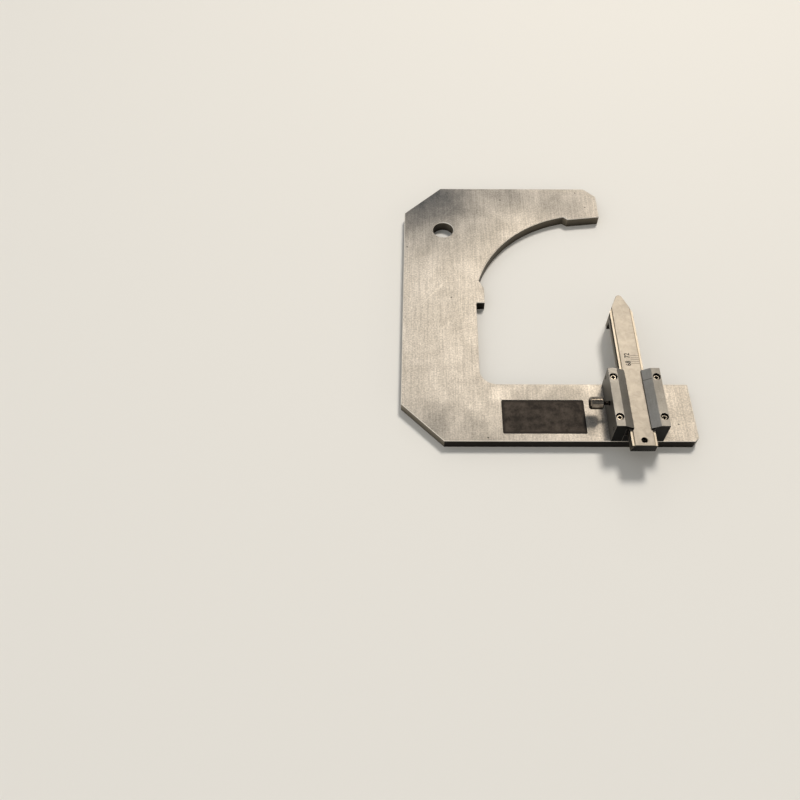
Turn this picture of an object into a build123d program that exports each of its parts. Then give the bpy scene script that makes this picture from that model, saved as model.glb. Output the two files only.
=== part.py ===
# Wear gauge: a C-shaped steel plate with a sliding pointed tongue in a screwed-on guide.
# Millimetres, +Z up. The origin is the centre of the hanging hole on the plate's underside.
# The mouth of the plate opens along +X, and the tongue slides along Y towards the datum pad.
import os
from math import cos, radians, sin, sqrt, tan

from build123d import *

os.makedirs("parts", exist_ok=True)

# Plate outline
plate_thickness = 5.0
plate_length = 150.0
lower_arm_reach = 122.5
upper_arm_reach = 97.3
lower_arm_width = 28.2
spine_width = 33.8
back_corner_chamfer = 18.0
upper_corner_chamfer = 5.6
lower_corner_chamfer = 1.8
throat_radius = 7.5
edge_break = 0.25

# Hanging hole
hole_diameter = 10.0
hole_from_back = 19.1
hole_from_top = 29.6
hole_chamfer = 0.3

# Heel nib, contour arc and datum pad, from the plate's lower back corner
nib_reach = 3.9
nib_bottom_y = 73.6
nib_face_length = 8.8
notch_radius = 0.8
arc_radius = 59.2
arc_centre_x = 92.7
arc_centre_y = 71.9
arc_start_rise = 15.1
arc_end_setback = 13.3
pad_step_down = 1.8
pad_step_across = 2.1
pad_tilt = 7.0
relief_radius = 0.9
pad_corner_radius = 0.4

# Shallow pocket for the marking panel
panel_length = 34.8
panel_width = 16.6
panel_from_back = 42.2
panel_from_front = 3.5
panel_depth = 0.15

# Tongue section and plan
tongue_width = 10.0
tongue_length = 77.3
flange_height = 4.35
strip_width = 7.9
strip_height = 0.35
point_half_angle = 23.0
apex_radius = 1.5
hook_heel_setback = 2.2
tongue_overhang = 7.4
tongue_edge_break = 0.12
groove_width = 1.9
groove_depth = 0.5
groove_land = 0.4

# Guide: bed, gib and two lipped rails over the lower arm
guide_from_arm_end = 25.85
guide_width = 21.5
rail_height = 12.2
rail_flat_width = 3.7
lip_opening = 7.0
lip_drop = 1.85
bed_height = 4.9
gib_thickness = 1.2
gib_end_gap = 0.3
gib_side_gap = 0.1
slide_clearance = 0.03
rail_edge_break = 0.12

# Rail screws and bed screws
screw_radius = 0.95
tapped_radius = 1.0
clearance_radius = 1.05
screw_head_radius = 1.3
screw_head_height = 1.3
counterbore_radius = 1.65
counterbore_depth = 2.1
rail_screw_end_gap = 0.5
rail_screw_from_end = 4.4
recess_arm_length = 1.7
recess_arm_width = 0.5
recess_depth = 0.9
recess_taper = 8.0
bed_screw_from_end = 7.0
bed_screw_head_radius = 1.9
bed_screw_grip = 3.5
bed_screw_sink = 0.1
countersink_angle = 90.0

# Stop screw near the tongue's rear end
stop_from_rear = 2.4
stop_head_radius = 1.25
stop_head_height = 1.0
stop_counterbore_depth = 2.2
stop_tail = 1.8
fit_gap = 0.05

# Gib screws
gib_screw_radius = 0.75
gib_bore_radius = 0.8
gib_screw_from_end = 1.6
gib_screw_sink = 0.9
dog_radius = 0.45
dimple_radius = 0.5
dimple_depth = 0.3
slot_width = 0.3
slot_depth = 0.4

# Lock screw with its swivel pad
lock_head_radius = 2.65
lock_head_length = 5.5
lock_head_standoff = 2.7
lock_head_chamfer = 0.45
lock_neck_radius = 0.8
lock_neck_length = 2.2
lock_from_front = 14.0
lock_travel_gap = 0.22
pad_length = 1.3
pad_radius = 0.95
tip_pin_radius = 0.4
tip_pin_length = 0.6
knurl_count = 26
knurl_depth = 0.24

# Places worked out from the sizes above
back_x = -hole_from_back
bottom_y = hole_from_top - plate_length
guide_x = back_x + lower_arm_reach - guide_from_arm_end
guide_far_y = bottom_y + lower_arm_width
rail_length = lower_arm_width
rail_top = plate_thickness + rail_height
bed_top = plate_thickness + bed_height
tongue_bottom = bed_top + slide_clearance
flange_top = tongue_bottom + flange_height
tongue_top = flange_top + strip_height
lip_underside = tongue_top + slide_clearance
lip_top = rail_top - lip_drop
half_guide = guide_width / 2
half_tongue = tongue_width / 2
right_wall = half_tongue + slide_clearance
gib_outer = right_wall + gib_thickness
left_wall = gib_outer + gib_side_gap
screw_line = half_guide - rail_flat_width / 2
tongue_rear_y = bottom_y - tongue_overhang
tongue_tip_y = tongue_rear_y + tongue_length
apex_y = tongue_tip_y + apex_radius * (1 / sin(radians(point_half_angle)) - 1)
shoulder_y = apex_y - half_tongue / tan(radians(point_half_angle))
lock_z = (tongue_bottom + flange_top) / 2
lock_y = bottom_y + lock_from_front
rail_screw_ys = (bottom_y + rail_screw_from_end, guide_far_y - rail_screw_from_end)
bed_screw_ys = (bottom_y + bed_screw_from_end, guide_far_y - bed_screw_from_end)
gib_screw_ys = (bottom_y + gib_screw_from_end, guide_far_y - gib_screw_from_end)
stop_y = tongue_rear_y + stop_from_rear


def save(part, name):
    """Label one finished piece and write its STEP file."""
    part.label = name
    export_step(part, f"parts/{name}.step")


def gauge_plate():
    """C plate with chamfered back corners, heel nib, contour arc and datum pad."""
    corner = (back_x, bottom_y)
    nib_x = spine_width + nib_reach
    arc_start_x = arc_centre_x - sqrt(arc_radius**2 - arc_start_rise**2)
    arc_start_y = arc_centre_y + arc_start_rise
    arc_end_x = arc_centre_x - arc_end_setback
    arc_end_y = arc_centre_y + sqrt(arc_radius**2 - arc_end_setback**2)
    arc_middle = arc_radius * cos(radians(45))
    pad_x = arc_end_x + pad_step_across
    pad_y = arc_end_y - pad_step_down
    pad_end_y = pad_y + (upper_arm_reach - pad_x) * tan(radians(pad_tilt))
    notch = (spine_width, nib_bottom_y)
    throat = (spine_width, lower_arm_width)
    lower_run = [
        (arc_start_x, arc_start_y),
        (nib_x, nib_bottom_y + nib_face_length),
        (nib_x, nib_bottom_y),
        notch,
        throat,
        (lower_arm_reach, lower_arm_width),
        (lower_arm_reach, lower_corner_chamfer),
        (lower_arm_reach - lower_corner_chamfer, 0),
        (back_corner_chamfer, 0),
        (0, back_corner_chamfer),
        (0, plate_length - back_corner_chamfer),
        (back_corner_chamfer, plate_length),
        (upper_arm_reach - upper_corner_chamfer, plate_length),
        (upper_arm_reach, plate_length - upper_corner_chamfer),
        (upper_arm_reach, pad_end_y),
        (pad_x, pad_y),
        (arc_end_x, arc_end_y),
    ]
    arc_middle_point = (arc_centre_x - arc_middle, arc_centre_y + arc_middle)
    rounded = {notch: notch_radius, throat: throat_radius}
    rounded[(pad_x, pad_y)] = pad_corner_radius
    rounded[(arc_end_x, arc_end_y)] = relief_radius
    with BuildPart() as plate:
        with BuildSketch(Plane(origin=(*corner, 0))) as outline:
            with BuildLine():
                Polyline(*lower_run)
                ThreePointArc(lower_run[-1], arc_middle_point, lower_run[0])
            make_face()
            for point, radius in rounded.items():
                fillet(outline.vertices().sort_by_distance(point)[0], radius)
        extrude(amount=plate_thickness)
        rims = plate.faces().group_by(Axis.Z)
        chamfer(rims[0].edges() + rims[-1].edges(), edge_break)
        with Locations((0, 0, plate_thickness)):
            Hole(hole_diameter / 2)
        mouth = plate.edges().filter_by(GeomType.CIRCLE).sort_by_distance((0, 0, plate_thickness))[0]
        chamfer(mouth, hole_chamfer)
        panel_corner = (back_x + panel_from_back, bottom_y + panel_from_front)
        with BuildSketch(Plane(origin=(*panel_corner, plate_thickness))):
            Rectangle(panel_length, panel_width, align=(Align.MIN, Align.MIN))
        extrude(amount=-panel_depth, mode=Mode.SUBTRACT)
        screw_xs = (guide_x - screw_line, guide_x + screw_line)
        with Locations(*[(x, y, plate_thickness) for x in screw_xs for y in rail_screw_ys]):
            Hole(tapped_radius)
        with Locations(*[Plane((guide_x, y, 0), z_dir=(0, 0, -1)) for y in bed_screw_ys]):
            CounterSinkHole(
                clearance_radius,
                bed_screw_head_radius + bed_screw_sink + fit_gap,
                counter_sink_angle=countersink_angle,
            )
    return plate.part


def guide_bed():
    """Ground strip between the rails that carries the tongue and the gib."""
    with BuildPart() as bed:
        with BuildSketch(Plane((guide_x, guide_far_y, plate_thickness))):
            with Locations((-left_wall, 0)):
                Rectangle(left_wall + right_wall, rail_length, align=(Align.MIN, Align.MAX))
        extrude(amount=bed_height)
        with Locations(*[Plane((guide_x, y, plate_thickness), z_dir=(0, 0, -1)) for y in bed_screw_ys]):
            Hole(tapped_radius, depth=bed_screw_grip + fit_gap * 4)
    return bed.part


def guide_rail(side, wall):
    """Lipped rail: side is -1 for the left one and 1 for the right one."""
    section = [
        (half_guide, plate_thickness),
        (half_guide, rail_top),
        (half_guide - rail_flat_width, rail_top),
        (lip_opening / 2, lip_top),
        (lip_opening / 2, lip_underside),
        (wall, lip_underside),
        (wall, plate_thickness),
    ]
    far_end = Plane((guide_x, guide_far_y, 0), x_dir=(1, 0, 0), z_dir=(0, -1, 0))
    with BuildPart() as rail:
        with BuildSketch(far_end):
            with BuildLine():
                Polyline(*[(side * x, z) for x, z in section], close=True)
            make_face()
        extrude(amount=rail_length)
        chamfer(rail.faces().sort_by(Axis.Z)[-1].edges(), rail_edge_break)
        with Locations(*[(guide_x + side * screw_line, y, rail_top) for y in rail_screw_ys]):
            CounterBoreHole(clearance_radius, counterbore_radius, counterbore_depth)
        if side < 0:
            outer = Plane((guide_x - half_guide, 0, 0), z_dir=(-1, 0, 0))
            with Locations(*[Plane((outer.origin.X, y, lock_z), z_dir=outer.z_dir) for y in gib_screw_ys]):
                Hole(gib_bore_radius, depth=half_guide - wall)
            with Locations(Plane((outer.origin.X, lock_y, lock_z), z_dir=outer.z_dir)):
                Hole(tapped_radius, depth=half_guide - wall)
    return rail.part


def gib_strip():
    """Steel strip pressed against the tongue by the two gib screws and the lock pad."""
    length = rail_length - 2 * gib_end_gap
    corner = (guide_x - gib_outer, bottom_y + gib_end_gap, tongue_bottom)
    with BuildPart() as gib:
        with BuildSketch(Plane(corner)):
            Rectangle(gib_thickness, length, align=(Align.MIN, Align.MIN))
        extrude(amount=flange_height)
        with Locations(*[Plane((corner[0], y, lock_z), z_dir=(-1, 0, 0)) for y in gib_screw_ys]):
            Hole(dimple_radius, depth=dimple_depth)
    return gib.part


def measuring_tongue():
    """Pointed sliding tongue: wide flange, raised scale strip and a deep hook under the point."""
    heel_y = shoulder_y - hook_heel_setback

    def pointed_outline(rear_y):
        with BuildSketch(mode=Mode.PRIVATE) as plan:
            with BuildLine():
                Polyline(
                    (-half_tongue, rear_y),
                    (half_tongue, rear_y),
                    (half_tongue, shoulder_y),
                    (0, apex_y),
                    (-half_tongue, shoulder_y),
                    close=True,
                )
            make_face()
            fillet(plan.vertices().sort_by(Axis.Y)[-1], apex_radius)
        return plan.sketch

    whole_plan = pointed_outline(tongue_rear_y)
    with BuildPart() as tongue:
        with BuildSketch(Plane((guide_x, 0, tongue_bottom))):
            add(whole_plan)
        extrude(amount=flange_height)
        with BuildSketch(Plane((guide_x, 0, flange_top))):
            add(whole_plan)
            with Locations((0, tongue_rear_y)):
                Rectangle(
                    strip_width,
                    tongue_length,
                    align=(Align.CENTER, Align.MIN),
                    mode=Mode.INTERSECT,
                )
        extrude(amount=strip_height)
        with BuildSketch(Plane((guide_x, 0, plate_thickness))):
            add(pointed_outline(heel_y))
        extrude(amount=tongue_bottom - plate_thickness)
        chamfer(tongue.faces().sort_by(Axis.Z)[-1].edges(), tongue_edge_break)
        groove_top = flange_top - groove_land
        with BuildSketch(Plane((guide_x - half_tongue, tongue_rear_y, groove_top))):
            Rectangle(groove_depth, tongue_length, align=(Align.MIN, Align.MIN))
        extrude(amount=-groove_width, mode=Mode.SUBTRACT)
        with Locations((guide_x, stop_y, tongue_top)):
            CounterBoreHole(tapped_radius, stop_head_radius + fit_gap, stop_counterbore_depth)
    return tongue.part


def cross_recess():
    """Tool for a cross recess: mouth at z = 0, narrowing upwards into a head."""
    with BuildPart() as tool:
        with BuildSketch():
            Rectangle(recess_arm_length, recess_arm_width)
            Rectangle(recess_arm_width, recess_arm_length)
        extrude(amount=recess_depth, taper=recess_taper)
    return tool.part


def rail_screw():
    """Cheese-head screw with a cross recess: seat at z = 0, shank down."""
    shank = rail_height - counterbore_depth + plate_thickness - rail_screw_end_gap
    recess = Location((0, 0, screw_head_height), (180, 0, 0)) * cross_recess()
    with BuildPart() as screw:
        with BuildSketch():
            Circle(screw_head_radius)
        extrude(amount=screw_head_height)
        chamfer(screw.edges().group_by(Axis.Z)[-1], screw_head_height / 6)
        add(recess, mode=Mode.SUBTRACT)
        with BuildSketch():
            Circle(screw_radius)
        extrude(amount=-shank)
        chamfer(screw.edges().group_by(Axis.Z)[0], screw_radius / 4)
    return screw.part


def bed_screw():
    """Countersunk screw: head face at z = 0 looking down, shank up."""
    drop = bed_screw_head_radius - screw_radius
    shank = plate_thickness - bed_screw_sink + bed_screw_grip
    profile = [
        (0, 0),
        (bed_screw_head_radius, 0),
        (screw_radius, drop / tan(radians(countersink_angle / 2))),
        (screw_radius, shank),
        (0, shank),
    ]
    recess = cross_recess()
    with BuildPart() as screw:
        with BuildSketch(Plane.XZ):
            with BuildLine():
                Polyline(*profile, close=True)
            make_face()
        revolve(axis=Axis.Z)
        add(recess, mode=Mode.SUBTRACT)
    return screw.part


def stop_screw():
    """Screw through the tongue whose tail meets the bed when the tongue is pushed right forward."""
    seat = tongue_top - stop_counterbore_depth
    with BuildPart() as screw:
        with BuildSketch(Plane((guide_x, stop_y, seat))):
            Circle(stop_head_radius)
        extrude(amount=stop_head_height)
        with BuildSketch(Plane((guide_x, stop_y, seat))):
            Circle(screw_radius)
        extrude(amount=tongue_bottom - stop_tail - seat)
        with BuildSketch(Plane((guide_x, stop_y, seat + stop_head_height))):
            Rectangle(2 * stop_head_radius, slot_width * 1.5)
        extrude(amount=-slot_depth, mode=Mode.SUBTRACT)
    return screw.part


def gib_screw():
    """Slotted set screw with a dog point: axis along +X from the outer end at x = 0."""
    body = half_guide - gib_outer - gib_screw_sink
    along_x = Plane((0, 0, 0), z_dir=(1, 0, 0))
    with BuildPart() as screw:
        with BuildSketch(along_x):
            Circle(gib_screw_radius)
        extrude(amount=body - gib_side_gap)
        with BuildSketch(along_x):
            Circle(dog_radius)
        extrude(amount=body + dimple_depth - fit_gap)
        with BuildSketch(along_x):
            Rectangle(slot_width, 2 * gib_screw_radius)
        extrude(amount=slot_depth, mode=Mode.SUBTRACT)
    return screw.part


pad_face_x = guide_x - gib_outer - lock_travel_gap
pad_back_x = pad_face_x - pad_length
lock_head_x = guide_x - half_guide - lock_head_standoff


def lock_screw():
    """Straight-knurled thumb screw with a thin neck, a threaded stud and a pin for its pad."""
    head_end_x = lock_head_x - lock_head_length
    stud_end_x = pad_back_x - fit_gap
    stud_start_x = lock_head_x + lock_neck_length
    knurl_half_angle = 180 / knurl_count
    chord = lock_head_radius * sin(radians(knurl_half_angle))
    with BuildPart() as screw:
        with BuildSketch(Plane((head_end_x, lock_y, lock_z), z_dir=(1, 0, 0))):
            Circle(lock_head_radius)
        extrude(amount=lock_head_length)
        chamfer(screw.edges().filter_by(GeomType.CIRCLE), lock_head_chamfer)
        with BuildSketch(Plane((head_end_x, lock_y, lock_z), z_dir=(1, 0, 0))):
            with PolarLocations(lock_head_radius, knurl_count):
                with BuildLine():
                    Polyline((-knurl_depth, 0), (fit_gap, -chord), (fit_gap, chord), close=True)
                make_face()
        extrude(amount=lock_head_length, mode=Mode.SUBTRACT)
        with BuildSketch(Plane((lock_head_x, lock_y, lock_z), z_dir=(1, 0, 0))):
            Circle(lock_neck_radius)
        extrude(amount=lock_neck_length)
        with BuildSketch(Plane((stud_start_x, lock_y, lock_z), z_dir=(1, 0, 0))):
            Circle(screw_radius)
        extrude(amount=stud_end_x - stud_start_x)
        with BuildSketch(Plane((stud_end_x, lock_y, lock_z), z_dir=(1, 0, 0))):
            Circle(tip_pin_radius)
        extrude(amount=tip_pin_length)
    return screw.part


def lock_pad():
    """Brass swivel pad on the lock screw's pin, which bears on the gib."""
    with BuildPart() as pad:
        with BuildSketch(Plane((pad_back_x, lock_y, lock_z), z_dir=(1, 0, 0))):
            Circle(pad_radius)
        extrude(amount=pad_length)
        with Locations(Plane((pad_back_x, lock_y, lock_z), z_dir=(-1, 0, 0))):
            Hole(tip_pin_radius + fit_gap, depth=tip_pin_length + fit_gap)
    return pad.part


save(gauge_plate(), "gauge_plate")
save(guide_bed(), "guide_bed")
save(guide_rail(-1, left_wall), "left_guide_rail")
save(guide_rail(1, right_wall), "right_guide_rail")
save(gib_strip(), "gib_strip")
save(measuring_tongue(), "measuring_tongue")
save(stop_screw(), "stop_screw")
save(lock_screw(), "lock_screw")
save(lock_pad(), "lock_pad")

for end, y in zip(("front", "far"), rail_screw_ys):
    for side_name, side in (("left", -1), ("right", 1)):
        seat = (guide_x + side * screw_line, y, rail_top - counterbore_depth)
        save(Location(seat) * rail_screw(), f"rail_screw_{side_name}_{end}")

for end, y in zip(("front", "far"), bed_screw_ys):
    save(Location((guide_x, y, bed_screw_sink)) * bed_screw(), f"bed_screw_{end}")

for end, y in zip(("front", "far"), gib_screw_ys):
    outer_end = (guide_x - half_guide + gib_screw_sink, y, lock_z)
    save(Location(outer_end) * gib_screw(), f"gib_screw_{end}")
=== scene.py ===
"""Looks for a C-shaped wear gauge: ground steel plate, lipped guide and pointed tongue."""

import math

import bmesh
import bpy
from mathutils import Euler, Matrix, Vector


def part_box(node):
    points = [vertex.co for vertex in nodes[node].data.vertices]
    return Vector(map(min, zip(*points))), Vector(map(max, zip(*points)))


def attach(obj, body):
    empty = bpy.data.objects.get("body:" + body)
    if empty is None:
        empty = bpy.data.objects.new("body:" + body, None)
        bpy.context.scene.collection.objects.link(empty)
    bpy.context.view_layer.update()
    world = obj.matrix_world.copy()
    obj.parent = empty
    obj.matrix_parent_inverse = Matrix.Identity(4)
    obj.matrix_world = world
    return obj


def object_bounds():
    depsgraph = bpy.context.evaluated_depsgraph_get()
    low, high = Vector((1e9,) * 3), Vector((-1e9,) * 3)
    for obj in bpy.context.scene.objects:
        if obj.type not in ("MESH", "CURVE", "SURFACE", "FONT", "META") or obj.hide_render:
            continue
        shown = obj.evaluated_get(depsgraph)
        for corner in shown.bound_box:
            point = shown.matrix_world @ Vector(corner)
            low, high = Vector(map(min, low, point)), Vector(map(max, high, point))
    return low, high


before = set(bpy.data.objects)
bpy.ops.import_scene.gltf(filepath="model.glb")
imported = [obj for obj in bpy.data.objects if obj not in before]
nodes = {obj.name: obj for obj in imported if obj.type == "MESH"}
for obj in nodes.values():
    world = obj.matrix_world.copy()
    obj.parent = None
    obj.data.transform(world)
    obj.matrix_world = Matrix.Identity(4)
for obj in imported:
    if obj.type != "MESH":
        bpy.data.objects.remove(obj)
cad_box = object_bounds()
mm = 0.001

# Camera: held over the near edge, leaning towards the plate
camera_place = Vector((-10.15, -275.56, 273.59)) * mm
camera_turn = (33.158, -0.313, -0.051)
camera_lens = 34.2
camera_shift = (-0.0325, -0.001)

# Lamps, in metres: a warm one and a low window on the far side, a wide panel on the near side
key_direction = Vector((0.21, 0.50, 0.84))
key_distance = 0.95
key_size = 0.2
key_watts = 2.07
key_colour = "#fff3e2"
window_direction = Vector((0.05, 0.87, 0.5))
window_distance = 1.2
window_size = 0.5
window_watts = 0.8
window_colour = "#fff8ee"
panel_direction = Vector((-0.25, -0.55, 0.95))
panel_distance = 1.3
panel_size = 1.2
panel_watts = 1.0
panel_colour = "#ffffff"

# Floor, in metres, and a sun for it that metal doesn't mirror, which softens the shadows
floor_radius = 5.0
floor_sides = 96
floor_gap = 0.02 * mm
floor_colour = "#ebe7df"
floor_light = 1.4
floor_light_angle = 12

# Room: pale walls under a ceiling that is cool on the left and dim on the right
wall_colour = "#dfdad1"
ceiling_left = "#b7bdc3"
ceiling_right = "#3a352e"

# Raised strip along the tongue's top, in millimetres
strip_width = 7.9
strip_height = 0.35

# Engraving on the tongue's strip and on the right rail, in millimetres. The marks are placed for
# their looks: against the index line they read about 1.1 mm less than the real gap.
scale_from_rear = 39.7
scale_pitch = 1.025
scale_count = 5
scale_line_length = 3.3
scale_line_width = 0.16
scale_line_inset = 0.2
digit_height = 2.3
digit_run = 2.5
digit_from_centre = -1.05
index_from_far_end = 5.2
index_line_width = 0.25
index_line_inset = 0.15
ink_proud = 0.008
ink_depth = 0.05
stroke_end_steps = 6

# Right rail's sloping flank, from its flat top down to the lip over the tongue, in millimetres
lip_opening = 7.0
lip_drop = 1.85
rail_flat_width = 3.7

# Marking panel in the plate's shallow pocket, in millimetres
pocket_depth = 0.15
marking_from_back = 42.2
marking_from_front = 3.5
marking_length = 34.8
marking_width = 16.6
marking_gap = 0.05
marking_thickness = 0.07
marking_corner = 0.35

# Walls that face the near side or the mouth get a dark painted shade. Its share goes from the
# first share to the second between these two Y places, in millimetres.
shade_facing = (0.6, -1.0, 0.0)
end_shade_y = (-28.0, -34.0)
end_shade_shares = (0.6, 1.0)

# Painted shade in the recesses of small screws, and on a knurl's grooves and lower side
recess_shade = {"reach": 0.6, "darkest": 0.03}
knurl_shade = {"reach": 20.0, "darkest": 0.05, "shut": 0.5, "clear": 0.85}

# Patches of painted cool shade on the plate, in millimetres: X, Y, reach and depth of the patch
shade_patch_places = (
    (-12.0, 28.0, 62.0, 0.9),
    (38.0, 26.0, 26.0, 0.4),
    (64.0, 18.0, 30.0, 0.42),
    (-4.0, -118.0, 30.0, 0.38),
    (38.0, -116.0, 42.0, 0.45),
    (8.0, -86.0, 28.0, 0.15),
)


def linear(colour):
    """An sRGB hex colour as Blender's linear one."""
    channels = [int(colour[i : i + 2], 16) / 255 for i in (1, 3, 5)]
    return [c / 12.92 if c <= 0.04045 else ((c + 0.055) / 1.055) ** 2.4 for c in channels] + [1]


def shown_output(node):
    """The output that a node has in its present mode."""
    return next(socket for socket in node.outputs if socket.enabled)


def add(tree, kind, inputs, **settings):
    """Add a node, set it up, and give its inputs a value, a socket or another node's output."""
    node = tree.nodes.new(kind)
    for name, value in settings.items():
        setattr(node, name, value)
    sockets = {socket.name: socket for socket in node.inputs if socket.enabled}
    sockets.update({socket.identifier: socket for socket in node.inputs})
    for name, value in inputs.items():
        if isinstance(value, bpy.types.Node):
            value = shown_output(value)
        if isinstance(value, bpy.types.NodeSocket):
            tree.links.new(value, sockets[name])
        else:
            sockets[name].default_value = value
    return node


def new_material(name):
    """A material with its shader, its surface point, and that point's place in millimetres."""
    material = bpy.data.materials.new(name)
    material.use_nodes = True
    tree = material.node_tree
    shader = tree.nodes["Principled BSDF"]
    point = add(tree, "ShaderNodeTexCoord", {})
    place = add(
        tree,
        "ShaderNodeVectorMath",
        {"Vector": point.outputs["Object"], "Scale": 1000.0},
        operation="SCALE",
    )
    return material, tree, shader, point, place


def occlusion_shaded(tree, colour, reach, darkest, shut=0.25, clear=0.85):
    """Painted shade in corners, in recesses and under parts nearer than the reach, in millimetres:
    darkest where the open sky's share is down to shut, and none where it is up to clear."""
    open_sky = add(tree, "ShaderNodeAmbientOcclusion", {"Distance": reach * mm}, samples=8)
    # Share of the colour kept outside the painted shade
    clean = add(
        tree,
        "ShaderNodeMapRange",
        {
            "Value": open_sky.outputs["AO"],
            "From Min": shut,
            "From Max": clear,
            "To Min": darkest,
            "To Max": 1.0,
        },
    )
    return add(tree, "ShaderNodeVectorMath", {"Vector": colour, "Scale": clean}, operation="SCALE")


def walls_with_painted_shade(tree, point, place, top, shaded_wall, end):
    """Ground tops, and upright walls in a darker painted shade. Walls that face the near side or
    the mouth get a darker painted shade still, darkest on the near arm."""
    facing = add(tree, "ShaderNodeSeparateXYZ", {"Vector": point.outputs["Normal"]})
    upright = add(tree, "ShaderNodeMath", {"Value": facing.outputs["Z"]}, operation="ABSOLUTE")
    side = add(
        tree,
        "ShaderNodeMapRange",
        {"Value": upright, "From Min": 0.25, "From Max": 0.5, "To Min": 1.0, "To Max": 0.0},
    )
    toward_mouth = add(
        tree,
        "ShaderNodeVectorMath",
        {"Vector": point.outputs["Normal"], "Vector_001": shade_facing},
        operation="DOT_PRODUCT",
    )
    facing_shade = add(
        tree,
        "ShaderNodeMapRange",
        {"Value": toward_mouth.outputs["Value"], "From Min": 0.4, "From Max": 0.9},
    )
    along = add(tree, "ShaderNodeSeparateXYZ", {"Vector": place})
    share = add(
        tree,
        "ShaderNodeMapRange",
        {
            "Value": along.outputs["Y"],
            "From Min": end_shade_y[0],
            "From Max": end_shade_y[1],
            "To Min": end_shade_shares[0],
            "To Max": end_shade_shares[1],
        },
    )
    # Painted shade on walls turned to the near side or the mouth
    darkened = add(
        tree, "ShaderNodeMath", {"Value": facing_shade, "Value_001": share}, operation="MULTIPLY"
    )
    upright_wall = add(
        tree,
        "ShaderNodeMix",
        {"Factor": darkened, "A_Color": linear(shaded_wall), "B_Color": linear(end)},
        data_type="RGBA",
    )
    faced = add(
        tree,
        "ShaderNodeMix",
        {"Factor": side, "A_Color": top, "B_Color": upright_wall},
        data_type="RGBA",
    )
    return faced, upright


def edge_worn_and_highlighted(tree, upright, colour, edge_wear_and_highlight):
    """Bright metal on the narrow 45 degree edge breaks, and a hairline of it on worn corners:
    partly wear and partly a painted highlight.
    """
    chamfer = add(
        tree,
        "ShaderNodeMath",
        {"Value": upright, "Value_001": 0.707, "Value_002": 0.1},
        operation="COMPARE",
    )
    # Corners are worn 0.1 mm round; drawn 0.3 mm round so that they show, with a painted highlight
    rounded = add(tree, "ShaderNodeBevel", {"Radius": 0.3 * mm}, samples=4)
    flat = add(tree, "ShaderNodeNewGeometry", {})
    turn = add(
        tree,
        "ShaderNodeVectorMath",
        {"Vector": rounded, "Vector_001": flat.outputs["Normal"]},
        operation="DOT_PRODUCT",
    )
    corner = add(
        tree,
        "ShaderNodeMapRange",
        {
            "Value": turn.outputs["Value"],
            "From Min": 0.8,
            "From Max": 0.95,
            "To Min": 0.6,
            "To Max": 0.0,
        },
    )
    worn_and_lit = add(tree, "ShaderNodeMath", {"Value": chamfer, "Value_001": corner}, operation="MAXIMUM")
    return add(
        tree,
        "ShaderNodeMix",
        {"Factor": worn_and_lit, "A_Color": colour, "B_Color": linear(edge_wear_and_highlight)},
        data_type="RGBA",
    )


def link_finish(tree, shader, metallic, looks):
    """Set how metallic a surface is, and link its colour, gloss and relief to its shader."""
    shader.inputs["Metallic"].default_value = metallic
    for name, node in looks.items():
        tree.links.new(shown_output(node), shader.inputs[name])


def painted_shade_patches(tree, place, clouds, colour):
    """Patches of painted cool, darker shade on the plate, which dim its highlight, broken up by its
    clouds.
    """
    plate_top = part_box("gauge_plate")[1].z / mm
    for x, y, reach, depth in shade_patch_places:
        away = add(
            tree,
            "ShaderNodeVectorMath",
            {"Vector": place, "Vector_001": (x, y, plate_top)},
            operation="DISTANCE",
        )
        patch_shade = add(
            tree,
            "ShaderNodeMapRange",
            {"Value": away.outputs["Value"], "From Max": reach, "To Min": depth, "To Max": 0.0},
            interpolation_type="SMOOTHSTEP",
        )
        uneven = add(tree, "ShaderNodeMath", {"Value": clouds, "Value_001": 0.6}, operation="ADD")
        mask = add(
            tree, "ShaderNodeMath", {"Value": patch_shade, "Value_001": uneven}, operation="MULTIPLY"
        )
        colour = add(
            tree,
            "ShaderNodeMix",
            {"Factor": mask, "A_Color": colour, "B_Color": linear("#5f6061")},
            data_type="RGBA",
        )
    return colour


def wheel_lines_and_grain(tree, place):
    """Lines left by the grinding wheel along Y, over an etched grain."""
    stretched = add(
        tree,
        "ShaderNodeVectorMath",
        {"Vector": place, "Vector_001": (1.0, 0.04, 1.0)},
        operation="MULTIPLY",
    )
    # Wheel lines are about 0.05 mm apart; drawn at 0.6 mm so that they show
    lines = add(tree, "ShaderNodeTexNoise", {"Vector": stretched, "Scale": 1 / 0.6, "Detail": 2.0})
    # Etched grain, coarsened to 0.7 mm so that it shows
    grain = add(tree, "ShaderNodeTexNoise", {"Vector": place, "Scale": 1 / 0.7, "Detail": 3.0})
    return add(tree, "ShaderNodeMix", {"Factor": 0.65, "A_Float": lines, "B_Float": grain})


def scratches_and_pits(tree, place):
    """Slanting bright scratches and small dark rust pits, each as a factor on the shade."""
    turned = add(
        tree,
        "ShaderNodeVectorRotate",
        {"Vector": place, "Angle": math.radians(38)},
        rotation_type="Z_AXIS",
    )
    drawn_out = add(
        tree,
        "ShaderNodeVectorMath",
        {"Vector": turned, "Vector_001": (1.0, 0.03, 1.0)},
        operation="MULTIPLY",
    )
    # Handling scratches are hairlines; drawn 0.4 mm wide so that they show
    scratches = add(
        tree, "ShaderNodeTexNoise", {"Vector": drawn_out, "Scale": 1 / 1.6, "Detail": 1.0}
    )
    scratched = add(
        tree,
        "ShaderNodeMapRange",
        {"Value": scratches, "From Min": 0.69, "From Max": 0.75, "To Min": 1.0, "To Max": 1.12},
    )
    # Rust pits about 0.6 mm across, some 34 mm apart
    pits = add(
        tree, "ShaderNodeTexVoronoi", {"Vector": place, "Scale": 1 / 34.0}, voronoi_dimensions="2D"
    )
    pitted = add(
        tree,
        "ShaderNodeMapRange",
        {"Value": pits, "From Min": 0.008, "From Max": 0.014, "To Min": 0.25, "To Max": 1.0},
    )
    return scratched, pitted


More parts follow.
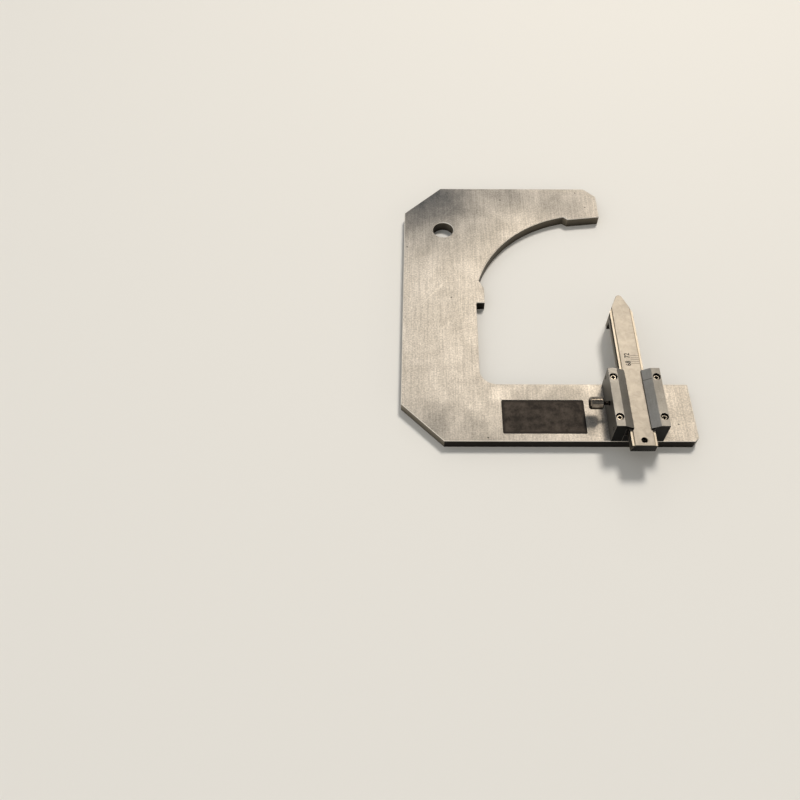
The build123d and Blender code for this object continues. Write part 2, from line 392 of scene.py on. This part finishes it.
def ground_steel(name, bright, dull, shaded_wall, end, edge_wear_and_highlight, contrast, reach, patch_shade=False):
    """Surface-ground tool steel: satin, speckled and softly stained, with wheel lines along Y,
    walls darkened as painted shade, thin bright edges that are partly wear and partly painted
    highlight, cool patches of painted shade, and painted shade in its corners."""
    material, tree, shader, point, place = new_material(name)
    # Stains of handling and storage, about 16 mm across
    clouds = add(
        tree,
        "ShaderNodeTexNoise",
        {"Vector": place, "Scale": 1 / 16.0, "Detail": 6.0, "Roughness": 0.68, "Distortion": 0.4},
    )
    stain = add(tree, "ShaderNodeMapRange", {"Value": clouds, "From Min": 0.36, "From Max": 0.68})
    stained = add(
        tree,
        "ShaderNodeMix",
        {"Factor": stain, "A_Color": linear(bright), "B_Color": linear(dull)},
        data_type="RGBA",
    )
    if patch_shade:
        stained = painted_shade_patches(tree, place, clouds, stained)
    texture = wheel_lines_and_grain(tree, place)
    shade = add(
        tree,
        "ShaderNodeMapRange",
        {
            "Value": texture,
            "From Min": 0.35,
            "From Max": 0.65,
            "To Min": 1 - contrast,
            "To Max": 1 + contrast,
        },
    )
    for mark in scratches_and_pits(tree, place):
        shade = add(
            tree, "ShaderNodeMath", {"Value": shade, "Value_001": mark}, operation="MULTIPLY"
        )
    textured = add(
        tree, "ShaderNodeVectorMath", {"Vector": stained, "Scale": shade}, operation="SCALE"
    )
    faced, upright = walls_with_painted_shade(tree, point, place, textured, shaded_wall, end)
    # Painted shade in the plate's and guide's corners and recesses
    colour = occlusion_shaded(tree, edge_worn_and_highlighted(tree, upright, faced, edge_wear_and_highlight), reach, darkest=0.35)
    gloss = add(
        tree,
        "ShaderNodeMapRange",
        {"Value": clouds, "From Min": 0.3, "From Max": 0.7, "To Min": 0.45, "To Max": 0.56},
    )
    # The grain stands about 10 microns high
    relief = add(
        tree, "ShaderNodeBump", {"Height": texture, "Strength": 0.6, "Distance": 0.01 * mm}
    )
    link_finish(tree, shader, 1.0, {"Base Color": colour, "Roughness": gloss, "Normal": relief})
    return material


def satin_chrome(low, high):
    """Satin chrome on ground steel: a pinkish mottled strip between paler ground shoulders, partly
    their finish and partly a painted highlight, with a line of painted shade at the foot of each
    step."""
    material, tree, shader, point, place = new_material("satin_chrome")
    # Mottling of the plating, about 2.6 mm across
    clouds = add(
        tree,
        "ShaderNodeTexNoise",
        {"Vector": place, "Scale": 1 / 2.6, "Detail": 5.0, "Roughness": 0.62, "Distortion": 0.8},
    )
    cloud = add(tree, "ShaderNodeMapRange", {"Value": clouds, "From Min": 0.35, "From Max": 0.65})
    mottled = add(
        tree,
        "ShaderNodeMix",
        {"Factor": cloud, "A_Color": linear("#b5aea3"), "B_Color": linear("#a7a096")},
        data_type="RGBA",
    )
    at = add(tree, "ShaderNodeSeparateXYZ", {"Vector": place})
    # Shoulders: paler, partly the ground finish and partly a painted highlight
    shoulder = add(
        tree,
        "ShaderNodeMath",
        {"Value": at.outputs["Z"], "Value_001": high.z / mm - strip_height, "Value_002": 0.06},
        operation="COMPARE",
    )
    middle = (low.x + high.x) / 2 / mm
    offset = add(
        tree,
        "ShaderNodeMath",
        {"Value": at.outputs["X"], "Value_001": middle},
        operation="SUBTRACT",
    )
    aside = add(tree, "ShaderNodeMath", {"Value": offset}, operation="ABSOLUTE")
    # The painted shade lies up to 0.4 mm out from the strip's foot
    foot_shade = add(
        tree,
        "ShaderNodeMapRange",
        {"Value": aside, "From Min": strip_width / 2 + 0.15, "From Max": strip_width / 2 + 0.4},
    )
    ledge = add(
        tree,
        "ShaderNodeMix",
        {"Factor": foot_shade, "A_Color": linear("#7f7668"), "B_Color": linear("#cfc5b4")},
        data_type="RGBA",
    )
    stepped = add(
        tree,
        "ShaderNodeMix",
        {"Factor": shoulder, "A_Color": mottled, "B_Color": ledge},
        data_type="RGBA",
    )
    faced, upright = walls_with_painted_shade(tree, point, place, stepped, shaded_wall="#6a645a", end="#0f0d0b")
    bright = edge_worn_and_highlighted(tree, upright, faced, edge_wear_and_highlight="#b0a798")
    colour = occlusion_shaded(tree, bright, reach=1.0, darkest=0.4)
    gloss = add(
        tree,
        "ShaderNodeMapRange",
        {"Value": clouds, "From Min": 0.3, "From Max": 0.7, "To Min": 0.44, "To Max": 0.48},
    )
    # Plated grain, 0.3 mm across, about 5 microns high
    grain = add(tree, "ShaderNodeTexNoise", {"Vector": place, "Scale": 1 / 0.3, "Detail": 2.0})
    relief = add(
        tree, "ShaderNodeBump", {"Height": grain, "Strength": 0.5, "Distance": 0.005 * mm}
    )
    link_finish(tree, shader, 1.0, {"Base Color": colour, "Roughness": gloss, "Normal": relief})
    return material


def painted_recess_shade(tree, point, colour, arm):
    """Painted shade, near black, in a screw's cross recess, and a painted shadow round its rim. The
    arm is half the width of a cross arm, as a share of the head's width."""
    centred = add(
        tree,
        "ShaderNodeVectorMath",
        {"Vector": point.outputs["Generated"], "Vector_001": (0.5, 0.5, 0.5)},
        operation="SUBTRACT",
    )
    flat = add(
        tree,
        "ShaderNodeVectorMath",
        {"Vector": centred, "Vector_001": (1.0, 1.0, 0.0)},
        operation="MULTIPLY",
    )
    aside = add(tree, "ShaderNodeVectorMath", {"Vector": flat}, operation="ABSOLUTE")
    axes = add(tree, "ShaderNodeSeparateXYZ", {"Vector": aside})
    nearer = add(
        tree,
        "ShaderNodeMath",
        {"Value": axes.outputs["X"], "Value_001": axes.outputs["Y"]},
        operation="MINIMUM",
    )
    arms = add(
        tree,
        "ShaderNodeMapRange",
        {"Value": nearer, "From Min": arm, "From Max": arm + 0.05, "To Min": 1.0, "To Max": 0.0},
    )
    radius = add(tree, "ShaderNodeVectorMath", {"Vector": flat}, operation="LENGTH")
    inner = add(
        tree,
        "ShaderNodeMapRange",
        {
            "Value": radius.outputs["Value"],
            "From Min": 0.3,
            "From Max": 0.36,
            "To Min": 1.0,
            "To Max": 0.0,
        },
    )
    cross = add(tree, "ShaderNodeMath", {"Value": arms, "Value_001": inner}, operation="MULTIPLY")
    rim = add(
        tree,
        "ShaderNodeMapRange",
        {"Value": radius.outputs["Value"], "From Min": 0.36, "From Max": 0.47},
    )
    recess_darkness = add(tree, "ShaderNodeMath", {"Value": cross, "Value_001": rim}, operation="MAXIMUM")
    return add(
        tree,
        "ShaderNodeMix",
        {"Factor": recess_darkness, "A_Color": colour, "B_Color": linear("#12100e")},
        data_type="RGBA",
    )


def polished_metal(name, clean, tarnished, smooth, rough, mark_size, arm=None, occlusion_shade=recess_shade):
    """Plated or turned metal: a sharp gloss, dulled in patches of the mark size, in millimetres,
    and with painted shade in its recesses."""
    material, tree, shader, point, place = new_material(name)
    patches = add(
        tree,
        "ShaderNodeTexNoise",
        {"Vector": place, "Scale": 1 / mark_size, "Detail": 4.0, "Roughness": 0.6},
    )
    patch = add(tree, "ShaderNodeMapRange", {"Value": patches, "From Min": 0.38, "From Max": 0.68})
    plated = add(
        tree,
        "ShaderNodeMix",
        {"Factor": patch, "A_Color": linear(clean), "B_Color": linear(tarnished)},
        data_type="RGBA",
    )
    if arm:
        plated = painted_recess_shade(tree, point, plated, arm)
    colour = occlusion_shaded(tree, plated, **occlusion_shade)
    gloss = add(tree, "ShaderNodeMapRange", {"Value": patch, "To Min": smooth, "To Max": rough})
    # Turning marks 0.15 mm apart, about 2 microns high
    marks = add(tree, "ShaderNodeTexNoise", {"Vector": place, "Scale": 1 / 0.15, "Detail": 1.0})
    relief = add(
        tree, "ShaderNodeBump", {"Height": marks, "Strength": 0.4, "Distance": 0.002 * mm}
    )
    link_finish(tree, shader, 1.0, {"Base Color": colour, "Roughness": gloss, "Normal": relief})
    return material


def blackened_panel(low, high):
    """Chemically blackened steel: brown-black, mottled, with a painted shade along its border, and
    rubbed paler in patches."""
    material, tree, shader, _, place = new_material("blackened_panel")
    # Blotches of the blackening, about 4 mm across
    mottle = add(
        tree,
        "ShaderNodeTexNoise",
        {"Vector": place, "Scale": 1 / 4.0, "Detail": 6.0, "Roughness": 0.7},
    )
    rubbed = add(tree, "ShaderNodeMapRange", {"Value": mottle, "From Min": 0.4, "From Max": 0.64})
    field = add(
        tree,
        "ShaderNodeMix",
        {"Factor": rubbed, "A_Color": linear("#26221f"), "B_Color": linear("#4e4741")},
        data_type="RGBA",
    )
    # How far each point lies inside the panel's edges, from its distance to the middle
    middle = (low + high) / 2 / mm
    half = (high - low) / 2 / mm
    centred = add(
        tree,
        "ShaderNodeVectorMath",
        {"Vector": place, "Vector_001": tuple(middle)},
        operation="SUBTRACT",
    )
    away = add(tree, "ShaderNodeVectorMath", {"Vector": centred}, operation="ABSOLUTE")
    inside = add(
        tree,
        "ShaderNodeVectorMath",
        {"Vector": tuple(half), "Vector_001": away},
        operation="SUBTRACT",
    )
    gaps = add(tree, "ShaderNodeSeparateXYZ", {"Vector": inside})
    nearest = add(
        tree,
        "ShaderNodeMath",
        {"Value": gaps.outputs["X"], "Value_001": gaps.outputs["Y"]},
        operation="MINIMUM",
    )
    # The painted border shade fades out between 0.3 and 1.5 mm in from the edge
    border_shade = add(
        tree,
        "ShaderNodeMapRange",
        {"Value": nearest, "From Min": 0.3, "From Max": 1.5, "To Min": 1.0, "To Max": 0.0},
    )
    border_shaded = add(
        tree,
        "ShaderNodeMix",
        {"Factor": border_shade, "A_Color": field, "B_Color": linear("#2b2724")},
        data_type="RGBA",
    )
    gloss = add(tree, "ShaderNodeMapRange", {"Value": mottle, "To Min": 0.4, "To Max": 0.62})
    # The blotches stand about 20 microns high
    relief = add(
        tree, "ShaderNodeBump", {"Height": mottle, "Strength": 0.4, "Distance": 0.02 * mm}
    )
    link_finish(tree, shader, 0.85, {"Base Color": border_shaded, "Roughness": gloss, "Normal": relief})
    return material


def engraving_fill(name, deep, thin):
    """Paint rubbed into an engraved line: matt, thinner in places."""
    material, tree, shader, _, place = new_material(name)
    # Worn spots about 0.5 mm across
    wear = add(tree, "ShaderNodeTexNoise", {"Vector": place, "Scale": 1 / 0.5, "Detail": 3.0})
    thinned = add(tree, "ShaderNodeMapRange", {"Value": wear, "From Min": 0.45, "From Max": 0.75})
    paint = add(
        tree,
        "ShaderNodeMix",
        {"Factor": thinned, "A_Color": linear(deep), "B_Color": linear(thin)},
        data_type="RGBA",
    )
    gloss = add(tree, "ShaderNodeMapRange", {"Value": wear, "To Min": 0.5, "To Max": 0.8})
    link_finish(tree, shader, 0.0, {"Base Color": paint, "Roughness": gloss})
    return material


def dress(name, material):
    """Give every material slot of a CAD node the same finish."""
    for slot in nodes[name].material_slots:
        slot.link = "OBJECT"
        slot.material = material


def add_piece(name, bm, material, body):
    """Turn mesh code into a piece that rides on a body."""
    mesh = bpy.data.meshes.new(name)
    bm.to_mesh(mesh)
    bm.free()
    mesh.materials.append(material)
    piece = bpy.data.objects.new(name, mesh)
    bpy.context.scene.collection.objects.link(piece)
    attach(piece, body)
    return piece


def add_stroke(bm, start, end, normal, width):
    """One cutter stroke with round ends: its face stands just proud of the steel."""
    along = (end - start).normalized()
    across = normal.cross(along) * width / 2
    rim = []
    for centre, turn in ((start, 90), (end, -90)):
        for step in range(stroke_end_steps + 1):
            angle = math.radians(turn + step * 180 / stroke_end_steps)
            rim.append(centre + along * width / 2 * math.cos(angle) + across * math.sin(angle))
    top = bm.faces.new([bm.verts.new(point + normal * ink_proud * mm) for point in rim])
    top.normal_update()
    if top.normal.dot(normal) < 0:
        top.normal_flip()
    skirt = bmesh.ops.extrude_face_region(bm, geom=[top])
    sunk = [v for v in skirt["geom"] if isinstance(v, bmesh.types.BMVert)]
    bmesh.ops.translate(bm, vec=-normal * (ink_proud + ink_depth) * mm, verts=sunk)
    bmesh.ops.recalc_face_normals(bm, faces=bm.faces)


def add_digits(name, text, centre, material):
    """Engraved number that reads along the tongue, its top towards the left rail."""
    curve = bpy.data.curves.new(name, "FONT")
    curve.body = text
    curve.align_x = "CENTER"
    curve.align_y = "CENTER"
    # A cutter's stroke is a little bolder than the font's
    curve.offset = 0.02
    curve.extrude = 0.5
    source = bpy.data.objects.new(name + "_source", curve)
    bpy.context.scene.collection.objects.link(source)
    bpy.context.view_layer.update()
    depsgraph = bpy.context.evaluated_depsgraph_get()
    mesh = bpy.data.meshes.new_from_object(source.evaluated_get(depsgraph))
    bpy.data.objects.remove(source)
    bpy.data.curves.remove(curve)
    bm = bmesh.new()
    bm.from_mesh(mesh)
    bpy.data.meshes.remove(mesh)
    low = Vector([min(v.co[i] for v in bm.verts) for i in range(3)])
    high = Vector([max(v.co[i] for v in bm.verts) for i in range(3)])
    size = high - low
    for v in bm.verts:
        run, rise, up = v.co - (low + high) / 2
        v.co.x = centre.x - rise / size.y * digit_height * mm
        v.co.y = centre.y + run / size.x * digit_run * mm
        v.co.z = centre.z + (ink_proud if up > 0 else -ink_depth) * mm
    bmesh.ops.recalc_face_normals(bm, faces=bm.faces)
    return add_piece(name, bm, material, "tongue")


def add_lamp(name, direction, distance, size, watts, colour):
    """A square soft lamp aimed at the middle of the gauge."""
    target = sum(cad_box, Vector()) / 2
    lamp = bpy.data.lights.new(name, "AREA")
    lamp.size = size
    lamp.energy = watts
    lamp.color = linear(colour)[:3]
    holder = bpy.data.objects.new(name, lamp)
    holder.location = target + direction.normalized() * distance
    holder.rotation_euler = direction.to_track_quat("Z", "Y").to_euler()
    bpy.context.scene.collection.objects.link(holder)


def light_room():
    """Pale walls under the two-sided ceiling, which the metal mirrors."""
    world = bpy.data.worlds.new("room")
    bpy.context.scene.world = world
    world.use_nodes = True
    tree = world.node_tree
    toward = add(tree, "ShaderNodeTexCoord", {})
    split = add(tree, "ShaderNodeSeparateXYZ", {"Vector": toward.outputs["Generated"]})
    across = add(
        tree,
        "ShaderNodeMapRange",
        {"Value": split.outputs["X"], "From Min": -0.7, "From Max": 0.8},
    )
    ceiling = add(
        tree,
        "ShaderNodeMix",
        {"Factor": across, "A_Color": linear(ceiling_left), "B_Color": linear(ceiling_right)},
        data_type="RGBA",
    )
    lean = add(
        tree,
        "ShaderNodeVectorMath",
        {"Vector": toward.outputs["Generated"], "Vector_001": (0.0, 0.25, 1.0)},
        operation="DOT_PRODUCT",
    )
    high = add(
        tree,
        "ShaderNodeMapRange",
        {"Value": lean.outputs["Value"], "From Min": 0.3, "From Max": 0.5},
        interpolation_type="SMOOTHSTEP",
    )
    room = add(
        tree,
        "ShaderNodeMix",
        {"Factor": high, "A_Color": linear(wall_colour), "B_Color": ceiling},
        data_type="RGBA",
    )
    tree.links.new(shown_output(room), tree.nodes["Background"].inputs["Color"])


def light_floor():
    """A soft sun from the warm lamp's side, for matt surfaces alone."""
    sun = bpy.data.lights.new("floor_light", "SUN")
    sun.energy = floor_light
    sun.angle = math.radians(floor_light_angle)
    holder = bpy.data.objects.new("floor_light", sun)
    holder.rotation_euler = key_direction.to_track_quat("Z", "Y").to_euler()
    holder.visible_glossy = False
    bpy.context.scene.collection.objects.link(holder)


def lay_floor():
    """A wide round floor of matt pale paint, just under the gauge."""
    bm = bmesh.new()
    bmesh.ops.create_circle(bm, cap_ends=True, segments=floor_sides, radius=floor_radius)
    mesh = bpy.data.meshes.new("floor")
    bm.to_mesh(mesh)
    bm.free()
    floor = bpy.data.objects.new("floor", mesh)
    floor.location.z = cad_box[0].z - floor_gap
    bpy.context.scene.collection.objects.link(floor)
    material, _, shader, _, _ = new_material("pale_matt_floor")
    shader.inputs["Base Color"].default_value = linear(floor_colour)
    shader.inputs["Roughness"].default_value = 0.9
    mesh.materials.append(material)


# Camera
camera_data = bpy.data.cameras.new("camera")
camera_data.lens = camera_lens
camera_data.sensor_width = 36.0
camera_data.shift_x, camera_data.shift_y = camera_shift
camera_data.clip_start = 0.01
camera = bpy.data.objects.new("camera", camera_data)
camera.location = camera_place
camera.rotation_euler = Euler([math.radians(angle) for angle in camera_turn])
bpy.context.scene.collection.objects.link(camera)
bpy.context.scene.camera = camera
bpy.context.scene.view_settings.view_transform = "Standard"

# Studio
add_lamp("key_lamp", key_direction, key_distance, key_size, key_watts, key_colour)
light_floor()
add_lamp("far_window", window_direction, window_distance, window_size, window_watts, window_colour)
add_lamp("near_panel", panel_direction, panel_distance, panel_size, panel_watts, panel_colour)
light_room()
lay_floor()

# Plate: bare tool steel, pale and strongly speckled, its near walls painted almost black as shade
plate_steel = ground_steel(
    "ground_plate_steel",
    bright="#e0d8cd",
    dull="#d0c8bc",
    shaded_wall="#8d8577",
    end="#2a2621",
    edge_wear_and_highlight="#fbf4e8",
    contrast=0.25,
    reach=7.0,
    patch_shade=True,
)
# Guide: the same steel ground finer, so it is greyer and more even
guide_steel = ground_steel(
    "ground_guide_steel",
    bright="#aaa69f",
    dull="#9a968f",
    shaded_wall="#77736c",
    end="#151412",
    edge_wear_and_highlight="#bab5ac",
    contrast=0.07,
    reach=2.6,
)
tongue_chrome = satin_chrome(*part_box("measuring_tongue"))
# Thumb screw: nickel plate, mirror bright on its crown, with painted shade in the knurl and on its
# lower side
nickel = polished_metal(
    "polished_nickel",
    clean="#a0968a",
    tarnished="#645c52",
    smooth=0.12,
    rough=0.2,
    mark_size=2.5,
    occlusion_shade=knurl_shade,
)
# Cross-recess screws: zinc plate, silvery and less sharp than nickel, with painted shade in the
# recess
zinc = polished_metal(
    "bright_zinc",
    clean="#958f85",
    tarnished="#6f6a61",
    smooth=0.22,
    rough=0.34,
    mark_size=1.5,
    arm=0.14,
)
# Set screws: black oxide, near black with a dull sheen
black_oxide = polished_metal(
    "black_oxide_steel",
    clean="#2a2928",
    tarnished="#3d3a37",
    smooth=0.35,
    rough=0.5,
    mark_size=1.5,
)
# Thumb screw's pad: turned brass, warm yellow
brass = polished_metal(
    "turned_brass",
    clean="#c9a65c",
    tarnished="#9c7c40",
    smooth=0.25,
    rough=0.4,
    mark_size=1.2,
)
# Numbers are filled with solid black, and the lines with a thin grey
black_fill = engraving_fill("black_engraving_paint", deep="#1f1d1b", thin="#38342f")
grey_fill = engraving_fill("thin_grey_engraving_paint", deep="#4b4742", thin="#6b655d")

for name in nodes:
    if name == "gauge_plate":
        dress(name, plate_steel)
    elif name == "measuring_tongue":
        dress(name, tongue_chrome)
    elif name == "lock_screw":
        dress(name, nickel)
    elif name == "lock_pad":
        dress(name, brass)
    elif name.startswith(("rail_screw", "stop_screw", "bed_screw")):
        dress(name, zinc)
    elif name.startswith("gib_screw"):
        dress(name, black_oxide)
    else:
        dress(name, guide_steel)

# Marking panel: a blank blackened plate that lies in the pocket
plate_low, plate_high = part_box("gauge_plate")
panel_low = plate_low + Vector((marking_from_back, marking_from_front, 0)) * mm
panel_low.z = plate_high.z - pocket_depth * mm
panel_high = panel_low + Vector((marking_length, marking_width, marking_thickness)) * mm
gap = Vector((marking_gap, marking_gap, 0)) * mm
panel_low += gap
panel_high -= gap
bm = bmesh.new()
bmesh.ops.create_cube(bm, size=1.0)
for v in bm.verts:
    v.co = (panel_low + panel_high) / 2 + v.co * (panel_high - panel_low)
half_thick = marking_thickness * mm / 2
uprights = [e for e in bm.edges if abs(e.verts[0].co.z - e.verts[1].co.z) > half_thick]
bmesh.ops.bevel(bm, geom=uprights, offset=marking_corner * mm, segments=4, affect="EDGES")
add_piece("marking_panel", bm, blackened_panel(panel_low, panel_high), "root")

# Scale on the raised strip: five lines that run to its right edge, numbered at both ends
tongue_low, tongue_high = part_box("measuring_tongue")
centre_x = (tongue_low.x + tongue_high.x) / 2
lines_right = centre_x + (strip_width / 2 - scale_line_inset) * mm
places = [scale_from_rear + count * scale_pitch for count in range(scale_count)]
bm = bmesh.new()
for place in places:
    end = Vector((lines_right, tongue_low.y + place * mm, tongue_high.z))
    start = end - Vector((scale_line_length * mm, 0, 0))
    add_stroke(bm, start, end, Vector((0, 0, 1)), scale_line_width * mm)
add_piece("scale_lines", bm, grey_fill, "tongue")
digits_x = centre_x + digit_from_centre * mm
for text, place in (("68", places[0]), ("72", places[-1])):
    centre = Vector((digits_x, tongue_low.y + place * mm, tongue_high.z))
    add_digits("scale_number_" + text, text, centre, black_fill)

# Index line across the right rail's sloping flank
rail_low, rail_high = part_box("right_guide_rail")
index_y = rail_high.y - index_from_far_end * mm
lip_edge = Vector((centre_x + lip_opening / 2 * mm, index_y, rail_high.z - lip_drop * mm))
flat_edge = Vector((rail_high.x - rail_flat_width * mm, index_y, rail_high.z))
slope = (flat_edge - lip_edge).normalized()
inset = slope * index_line_inset * mm
flank_normal = Vector((0, -1, 0)).cross(slope)
bm = bmesh.new()
add_stroke(bm, lip_edge + inset, flat_edge - inset, flank_normal, index_line_width * mm)
add_piece("index_line", bm, grey_fill, "root")
